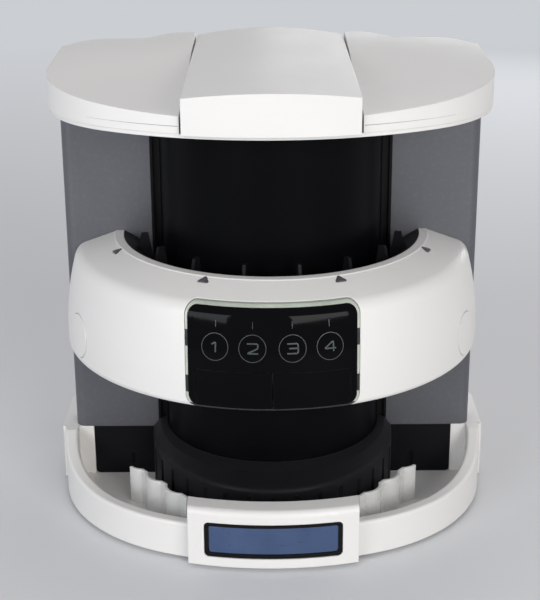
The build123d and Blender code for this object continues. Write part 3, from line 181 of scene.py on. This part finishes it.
def surface(
    name,
    colour,
    rough,
    *,
    tint=0.03,
    tint_scale=9.0,
    dust=0.0,
    dust_colour=(0.5, 0.49, 0.46),
    rough_spread=0.06,
    rough_scale=30.0,
    grain=0.15,
    grain_scale=1800.0,
    grain_depth=0.00006,
    stretch=(1.0, 1.0, 1.0),
    edge_r=0.0005,
    edge_colour=None,
    edge_amount=0.0,
    bands=(),
    **shader,
):
    """A finish with soft colour changes, uneven gloss, a fine grain and rounded edges, which
    edge_colour lightens in patches: wear on most finishes, a painted highlight on the gloss lens.

    bands, where given, is a list of (height, colour) from which each colour starts upwards.
    """
    made = bpy.data.materials.new(name)
    made.use_nodes = True
    tree = made.node_tree
    tree.nodes.clear()
    place = add_node(tree, "ShaderNodeTexCoord").outputs["Object"]
    drawn = add_node(tree, "ShaderNodeMapping", {"Vector": place, "Scale": stretch}).outputs[0]

    clouds = noise(tree, place, tint_scale)
    colour_out = blend_colours(
        tree, spread(tree, clouds, 0.0, 1.0), rgba(colour, 1 - tint), rgba(colour, 1 + tint)
    )
    if bands:
        height = add_node(tree, "ShaderNodeSeparateXYZ", {0: place}).outputs["Z"]
        low, high = bands[0][0], bands[-1][0] + LAST_BAND_H
        along = spread(tree, height, 0.0, 1.0, low, high)
        ramp = add_node(tree, "ShaderNodeValToRGB", {"Fac": along})
        ramp.color_ramp.interpolation = "CONSTANT"
        stops = ramp.color_ramp.elements
        stops.remove(stops[1])
        stops[0].color = rgba(bands[0][1])
        for start, band_colour in bands[1:]:
            stops.new((start - low) / (high - low)).color = rgba(band_colour)
        banded = ramp.outputs["Color"]
        colour_out = blend_colours(tree, 1.0, colour_out, banded, blend_type="MULTIPLY")
    if dust:
        specks = noise(tree, place, DUST_SCALE, detail=5.0, rough=0.7)
        amount = spread(tree, specks, 0.0, dust, DUST_FROM, DUST_TO)
        colour_out = blend_colours(tree, amount, colour_out, rgba(dust_colour))

    bevel = add_node(tree, "ShaderNodeBevel", {"Radius": edge_r}, samples=EDGE_SAMPLES)
    corner = bevel.outputs[0]
    # Lighter edges in patches: wear, and on the gloss lens a painted highlight of lit edges
    if edge_amount:
        face = add_node(tree, "ShaderNodeNewGeometry").outputs["Normal"]
        turn = add_node(
            tree, "ShaderNodeVectorMath", {0: corner, 1: face}, operation="DOT_PRODUCT"
        ).outputs["Value"]
        edge = spread(tree, turn, edge_amount, 0.0, EDGE_FULL, EDGE_NONE)
        patches = noise(tree, place, EDGE_PATCH_SCALE, detail=4.0, rough=0.65)
        patchy = spread(tree, patches, EDGE_PATCH_LEAST, 1.0, EDGE_PATCH_FROM, EDGE_PATCH_TO)
        edge_wear_and_highlight = add_node(
            tree, "ShaderNodeMath", {0: edge, 1: patchy}, operation="MULTIPLY"
        ).outputs[0]
        colour_out = blend_colours(tree, edge_wear_and_highlight, colour_out, rgba(edge_colour or colour))

    rub = noise(tree, drawn, rough_scale, detail=6.0, rough=0.6)
    least = max(LEAST_ROUGH, rough - rough_spread)
    rough_out = spread(tree, rub, least, rough + rough_spread)
    fine = noise(tree, drawn, grain_scale, detail=2.0, rough=0.6)
    relief = add_node(
        tree,
        "ShaderNodeBump",
        {"Strength": grain, "Distance": grain_depth, "Height": fine, "Normal": corner},
    ).outputs[0]
    skin = add_node(
        tree,
        "ShaderNodeBsdfPrincipled",
        {"Base Color": colour_out, "Roughness": rough_out, "Normal": relief},
    )
    for key, value in shader.items():
        skin.inputs[key.replace("_", " ")].default_value = value
    add_node(tree, "ShaderNodeOutputMaterial", {"Surface": skin.outputs[0]})
    return made


CLEAR = (1.0, 1.0, 1.0)
SMOKED = (0.03, 0.03, 0.03)
BORDER_BANDS = (
    (0.1300, SMOKED),
    (0.1470, CLEAR),
    (0.1555, SMOKED),
    (0.1690, CLEAR),
    (0.1915, SMOKED),
    (0.2040, CLEAR),
)

FINISH = {
    "white_cover": surface(
        "white_cover",
        (0.80, 0.785, 0.765),
        0.44,
        tint=0.012,
        tint_scale=5.0,
        dust=0.05,
        grain=0.35,
        grain_scale=1500.0,
        edge_r=0.0011,
        Coat_Weight=0.08,
        Coat_Roughness=0.25,
    ),
    "grey_panel": surface(
        "grey_panel",
        (0.120, 0.124, 0.138),
        0.42,
        tint=0.05,
        tint_scale=14.0,
        dust=0.25,
        dust_colour=(0.25, 0.26, 0.28),
        grain=0.4,
        grain_scale=2400.0,
        Metallic=0.35,
    ),
    "black_drum": surface(
        "black_drum",
        (0.0022, 0.0024, 0.003),
        0.34,
        tint=0.2,
        dust=0.04,
        dust_colour=(0.02, 0.02, 0.02),
        rough_spread=0.05,
        rough_scale=60.0,
        grain=0.25,
        stretch=(1.0, 1.0, 0.12),
        Specular_IOR_Level=0.05,
    ),
    "black_plastic": surface(
        "black_plastic",
        (0.006, 0.006, 0.007),
        0.42,
        tint=0.15,
        dust=0.10,
        dust_colour=(0.05, 0.05, 0.05),
        grain=0.4,
        grain_scale=1600.0,
        edge_colour=(0.03, 0.03, 0.033),
        edge_amount=0.4,
        Specular_IOR_Level=0.12,
    ),
    "black_rubber": surface(
        "black_rubber",
        (0.0055, 0.0056, 0.0075),
        0.46,
        tint=0.18,
        dust=0.10,
        dust_colour=(0.02, 0.02, 0.023),
        grain=0.5,
        grain_scale=1100.0,
        edge_r=0.0012,
        edge_colour=(0.03, 0.031, 0.034),
        edge_amount=0.4,
        Sheen_Weight=0.04,
        Sheen_Roughness=0.5,
        Specular_IOR_Level=0.11,
    ),
    "gloss_lens": surface(
        "gloss_lens",
        (0.0014, 0.0014, 0.0019),
        0.05,
        tint=0.2,
        rough_spread=0.02,
        rough_scale=18.0,
        grain=0.01,
        grain_scale=400.0,
        edge_r=0.0006,
        # Painted highlight: the lighter edge colour stands in for light caught on the lens and
        # key edges
        edge_colour=(0.035, 0.045, 0.050),
        edge_amount=0.6,
        Specular_IOR_Level=0.07,
    ),
    "gasket_clear": surface(
        "gasket_clear",
        (0.50, 0.55, 0.47),
        0.30,
        tint=0.10,
        tint_scale=60.0,
        grain=0.1,
        bands=BORDER_BANDS,
        Subsurface_Weight=0.4,
        Subsurface_Scale=0.003,
        Subsurface_Radius=(1.0, 1.0, 1.0),
    ),
    "guard_frosted": surface(
        "guard_frosted",
        (0.78, 0.78, 0.765),
        0.26,
        tint=0.03,
        tint_scale=40.0,
        dust=0.10,
        grain=0.35,
        grain_scale=900.0,
        edge_r=0.0010,
        Subsurface_Weight=0.35,
        Subsurface_Scale=0.003,
        Subsurface_Radius=(1.0, 1.0, 1.0),
        Coat_Weight=0.5,
        Coat_Roughness=0.12,
    ),
    "lamp_dark": surface(
        "lamp_dark",
        (0.075, 0.075, 0.080),
        0.20,
        tint=0.2,
        tint_scale=300.0,
        grain=0.1,
        Coat_Weight=0.5,
    ),
    "plate_blue": surface(
        "plate_blue",
        (0.088, 0.135, 0.265),
        0.38,
        tint=0.12,
        tint_scale=30.0,
        rough_spread=0.12,
        rough_scale=900.0,
        grain=0.5,
        grain_scale=2600.0,
        stretch=(0.03, 1.0, 1.0),
        Metallic=0.7,
    ),
    "steel": surface(
        "steel",
        (0.55, 0.56, 0.57),
        0.36,
        tint=0.07,
        tint_scale=25.0,
        rough_spread=0.12,
        grain=0.3,
        stretch=(0.05, 1.0, 1.0),
        Metallic=1.0,
    ),
    "aluminium_part": surface(
        "aluminium_part",
        (0.68, 0.69, 0.70),
        0.30,
        tint=0.05,
        rough_spread=0.10,
        grain=0.3,
        stretch=(1.0, 1.0, 0.05),
        Metallic=1.0,
    ),
    "board_green": surface(
        "board_green",
        (0.012, 0.09, 0.045),
        0.35,
        tint=0.3,
        tint_scale=240.0,
        dust=0.2,
        dust_colour=(0.20, 0.22, 0.12),
        grain=0.3,
        Coat_Weight=0.4,
    ),
    "roller_rubber": surface(
        "roller_rubber",
        (0.06, 0.06, 0.065),
        0.6,
        tint=0.2,
        tint_scale=80.0,
        dust=0.2,
        grain=0.5,
        grain_scale=1400.0,
    ),
}
PRINT = surface(
    "print_grey",
    (0.045, 0.058, 0.058),
    0.30,
    tint=0.25,
    tint_scale=300.0,
    dust=0.5,
    dust_colour=(0.02, 0.02, 0.02),
    grain=0.1,
)
# Painted shade in the cover seam: a grey line for the shade in its groove
SEAM_SHADE = surface(
    "seam_painted_shade",
    (0.30, 0.30, 0.30),
    0.6,
    tint=0.15,
    tint_scale=200.0,
    dust=0.2,
)

for part in frame["record"]["subparts"]:
    for used in frame["nodes"][part["node"]].material_slots:
        used.material = FINISH[part["material_slot"]]


# Printed marks, seam lines of painted shade, and lamp lenses
def ray_tree(name):
    """The faces of a CAD node, ready for rays to be cast at them."""
    mesh = frame["nodes"][name].data
    points = [v.co.copy() for v in mesh.vertices]
    return BVHTree.FromPolygons(points, [tuple(p.vertices) for p in mesh.polygons])


def on_wall(tree, along, height):
    """Point on a wall round the drum's axis, from metres along the collar's circle and height."""
    angle = along / COLLAR_R
    outward = Vector((math.sin(angle), -math.cos(angle), 0.0))
    axis_point = Vector((0.0, AXIS_Y, height))
    hit, normal, _, _ = tree.ray_cast(axis_point + outward * 2 * COLLAR_R, -outward)
    if hit is None:
        return axis_point + outward * COLLAR_R
    return hit + normal * MARK_PROUD


def ribbon(mesh, tree, path, width, closed=False, end_width=None):
    """Flat line along a path of (along, height) points on a wall, thinning to end_width."""
    count = len(path)
    thinner = 0.0 if end_width is None else (end_width - width) / (count - 1)
    sides = []
    for i, (x, z) in enumerate(path):
        before = path[i - 1] if closed or i else path[i]
        after = path[(i + 1) % count] if closed or i < count - 1 else path[i]
        run = Vector((after[0] - before[0], after[1] - before[1])).normalized()
        across = Vector((-run.y, run.x)) * (width + i * thinner) / 2
        sides.append(
            (
                mesh.verts.new(on_wall(tree, x + across.x, z + across.y)),
                mesh.verts.new(on_wall(tree, x - across.x, z - across.y)),
            )
        )
    last = count if closed else count - 1
    for i in range(last):
        a, b = sides[i], sides[(i + 1) % count]
        mesh.faces.new((a[0], a[1], b[1], b[0]))


def rounded(points, cut, steps=3):
    """A path with its corners cut by short arcs."""
    made = [points[0]]
    for before, corner, after in zip(points, points[1:], points[2:]):
        c = Vector(corner)
        start = c + (Vector(before) - c).normalized() * cut
        end = c + (Vector(after) - c).normalized() * cut
        for i in range(steps + 1):
            t = i / steps
            made.append(tuple(start * (1 - t) ** 2 + c * 2 * t * (1 - t) + end * t * t))
    made.append(points[-1])
    return made


def divided(points, step=0.0012):
    """The same path with points near enough together to follow the curved lens."""
    made = [points[0]]
    for before, after in zip(points, points[1:]):
        a, b = Vector(before), Vector(after)
        parts = max(1, round((b - a).length / step))
        made.extend(tuple(a.lerp(b, i / parts)) for i in range(1, parts + 1))
    return made


# Strokes of the numbers, in a square of side 1 with its centre at 0
NUMBER_STROKES = (
    (((-0.28, 0.22), (0.06, 0.48), (0.06, -0.5)),),
    (((-0.46, 0.46), (0.46, 0.46), (0.46, 0.02), (-0.44, -0.46), (0.5, -0.46)),),
    (
        ((-0.46, 0.46), (0.46, 0.46), (0.46, -0.46), (-0.46, -0.46)),
        ((-0.3, 0.02), (0.44, 0.02)),
    ),
    (((0.28, -0.5), (0.28, 0.5), (-0.5, -0.2), (0.5, -0.2)),),
)


def lens_marks():
    mesh = bmesh.new()
    lens = ray_tree("display_lens")
    for angle, strokes in zip(MARK_ANGLES, NUMBER_STROKES):
        middle = math.radians(angle) * COLLAR_R
        turns = [2 * math.pi * i / RING_POINTS for i in range(RING_POINTS)]
        ring = [(middle + RING_R * math.cos(t), MARK_Z + RING_R * math.sin(t)) for t in turns]
        ribbon(mesh, lens, ring, MARK_LINE, closed=True)
        for stroke in strokes:
            path = [(middle + x * NUMBER_W, MARK_Z + z * NUMBER_H) for x, z in stroke]
            ribbon(mesh, lens, divided(rounded(path, NUMBER_CORNER)), NUMBER_LINE)
        tick = [(middle, MARK_Z + RING_R + TICK_LOW), (middle, MARK_Z + RING_R + TICK_HIGH)]
        ribbon(mesh, lens, divided(tick), TICK_LINE)
    return mesh


# Grey lines of painted shade along each cover's seam
def cover_seams():
    mesh = bmesh.new()
    start, end = (math.radians(angle) * COLLAR_R for angle in SEAM_ANGLES)
    for side, node in ((-1, "top_cover_left"), (1, "top_cover_right")):
        cover = ray_tree(node)
        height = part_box(node)[0].z + SEAM_UP
        steps = [i / (SEAM_POINTS - 1) for i in range(SEAM_POINTS)]
        path = [(side * (start + (end - start) * t), height) for t in steps]
        ribbon(mesh, cover, path, SEAM_LINE, end_width=SEAM_END_LINE)
    return mesh


def fixed_piece(name, mesh, look):
    """Makes a piece that rides on the fixed body, with the finish it is given."""
    data = bpy.data.meshes.new(name)
    mesh.to_mesh(data)
    mesh.free()
    data.materials.append(look)
    made = bpy.data.objects.new(name, data)
    scene.collection.objects.link(made)
    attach(made, "root")
    return made


def lamp_outlines():
    """The outline of each lamp, from the top of the CAD lamps, in order round its middle."""
    points = [v.co.copy() for v in frame["nodes"]["indicator_lamps"].data.vertices]
    top = max(p.z for p in points)
    outlines = {angle: {} for angle in LAMP_ANGLES}
    for p in points:
        if p.z > top - SAME_LEVEL:
            turn = math.degrees(math.atan2(p.x, AXIS_Y - p.y))
            nearest = min(LAMP_ANGLES, key=lambda angle: abs(angle - turn))
            key = (round(p.x, PLACE_DIGITS), round(p.y, PLACE_DIGITS))
            outlines[nearest][key] = Vector((p.x, p.y, 0.0))
    for found in outlines.values():
        around = list(found.values())
        middle = sum(around, Vector()) / len(around)
        arms = [p - middle for p in around]
        yield middle, sorted(arms, key=lambda arm: math.atan2(arm.y, arm.x))


def lamp_lenses():
    """Low domed lenses that lie along the collar's slope."""
    mesh = bmesh.new()
    collar = ray_tree("collar_shell")
    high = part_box("collar_shell")[1].z + COLLAR_R
    for middle, arms in lamp_outlines():
        heights = []
        for arm in arms:
            start = middle + arm * LAMP_PROBE
            start.z = high
            heights.append(collar.ray_cast(start, Vector((0.0, 0.0, -1.0)))[0].z)
        level = sum(heights) / len(heights)
        slopes = [(height - level) / LAMP_PROBE for height in heights]
        rings = []
        for share, rise in LAMP_RINGS:
            ring = []
            for arm, slope in zip(arms, slopes):
                up = Vector((0.0, 0.0, level + slope * share + rise))
                ring.append(mesh.verts.new(middle + arm * share + up))
            rings.append(ring)
        count = len(arms)
        for low, top in zip(rings, rings[1:]):
            for i in range(count):
                j = (i + 1) % count
                mesh.faces.new((low[i], low[j], top[j], top[i]))
        crown = mesh.verts.new(middle + Vector((0.0, 0.0, level + LAMP_CROWN)))
        for i in range(count):
            mesh.faces.new((rings[-1][i], rings[-1][(i + 1) % count], crown))
        mesh.faces.new(list(reversed(rings[0])))
    return mesh


fixed_piece("display_marks", lens_marks(), PRINT)
fixed_piece("cover_seams", cover_seams(), SEAM_SHADE)
lamps = fixed_piece("lamp_lenses", lamp_lenses(), FINISH["lamp_dark"])
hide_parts("indicator_lamps")


# Floor, light and camera
def background_rays(tree):
    """1 for the rays that should meet the plain background, 0 for the rest."""
    path = add_node(tree, "ShaderNodeLightPath").outputs
    seen = path["Is Camera Ray"]
    for ray in ("Is Glossy Ray", "Is Transmission Ray"):
        parts = {0: seen, 1: path[ray]}
        seen = add_node(tree, "ShaderNodeMath", parts, operation="MAXIMUM").outputs[0]
    return seen


def floor_paper():
    """Matt paper that runs out into the plain background, well away from the object."""
    made = bpy.data.materials.new("floor_paper")
    made.use_nodes = True
    tree = made.node_tree
    tree.nodes.clear()
    skin = {"Base Color": FLOOR_COLOUR, "Roughness": FLOOR_ROUGH}
    paper = add_node(tree, "ShaderNodeBsdfPrincipled", skin).outputs[0]
    glow = {"Color": BACKDROP, "Strength": BACKDROP_STRENGTH}
    away = add_node(tree, "ShaderNodeEmission", glow).outputs[0]
    place = add_node(tree, "ShaderNodeTexCoord").outputs["Object"]
    reach = add_node(tree, "ShaderNodeVectorMath", {0: place}, operation="LENGTH")
    far = reach.outputs["Value"]
    fade = spread(tree, far, 0.0, 1.0, FLOOR_FADE_START, FLOOR_FADE_END)
    parts = {0: fade, 1: background_rays(tree)}
    share = add_node(tree, "ShaderNodeMath", parts, operation="MULTIPLY").outputs[0]
    mixed = add_node(tree, "ShaderNodeMixShader", {0: share, 1: paper, 2: away}).outputs[0]
    add_node(tree, "ShaderNodeOutputMaterial", {"Surface": mixed})
    return made


bpy.ops.mesh.primitive_plane_add(size=FLOOR_SIZE, location=(0, 0, 0))
floor = bpy.context.object
floor.name = "floor"
floor.data.materials.append(floor_paper())


for name, place, width, height, power, colour in LIGHTS:
    lamp_data = bpy.data.lights.new(name, "AREA")
    lamp_data.shape = "RECTANGLE"
    lamp_data.size = width
    lamp_data.size_y = height
    lamp_data.energy = power
    lamp_data.color = colour
    lamp = bpy.data.objects.new(name, lamp_data)
    lamp.location = place
    aim = Vector(LIGHT_AIM) - Vector(place)
    lamp.rotation_euler = aim.to_track_quat("-Z", "Y").to_euler()
    scene.collection.objects.link(lamp)

world = bpy.data.worlds.new("studio")
scene.world = world
world.use_nodes = True
sky = world.node_tree
sky.nodes.clear()
dim_glow = {"Color": SKY_COLOUR, "Strength": SKY_STRENGTH}
dim = add_node(sky, "ShaderNodeBackground", dim_glow).outputs[0]
pale_glow = {"Color": BACKDROP, "Strength": BACKDROP_STRENGTH}
pale = add_node(sky, "ShaderNodeBackground", pale_glow).outputs[0]
parts = {0: background_rays(sky), 1: dim, 2: pale}
chosen = add_node(sky, "ShaderNodeMixShader", parts).outputs[0]
add_node(sky, "ShaderNodeOutputWorld", {"Surface": chosen})

view = bpy.data.cameras.new("photo_view")
view.lens = CAMERA_LENS
view.sensor_width = CAMERA_SENSOR
view.clip_start = CAMERA_NEAR
camera = bpy.data.objects.new("photo_view", view)
camera.location = CAMERA_PLACE
level_view = Euler((math.radians(90 - CAMERA_PITCH), 0.0, math.radians(-CAMERA_YAW))).to_matrix()
tilted_view = level_view @ Matrix.Rotation(math.radians(-CAMERA_ROLL), 3, "Z")
camera.rotation_euler = tilted_view.to_euler()
scene.collection.objects.link(camera)
scene.camera = camera
scene.view_settings.view_transform = "Standard"
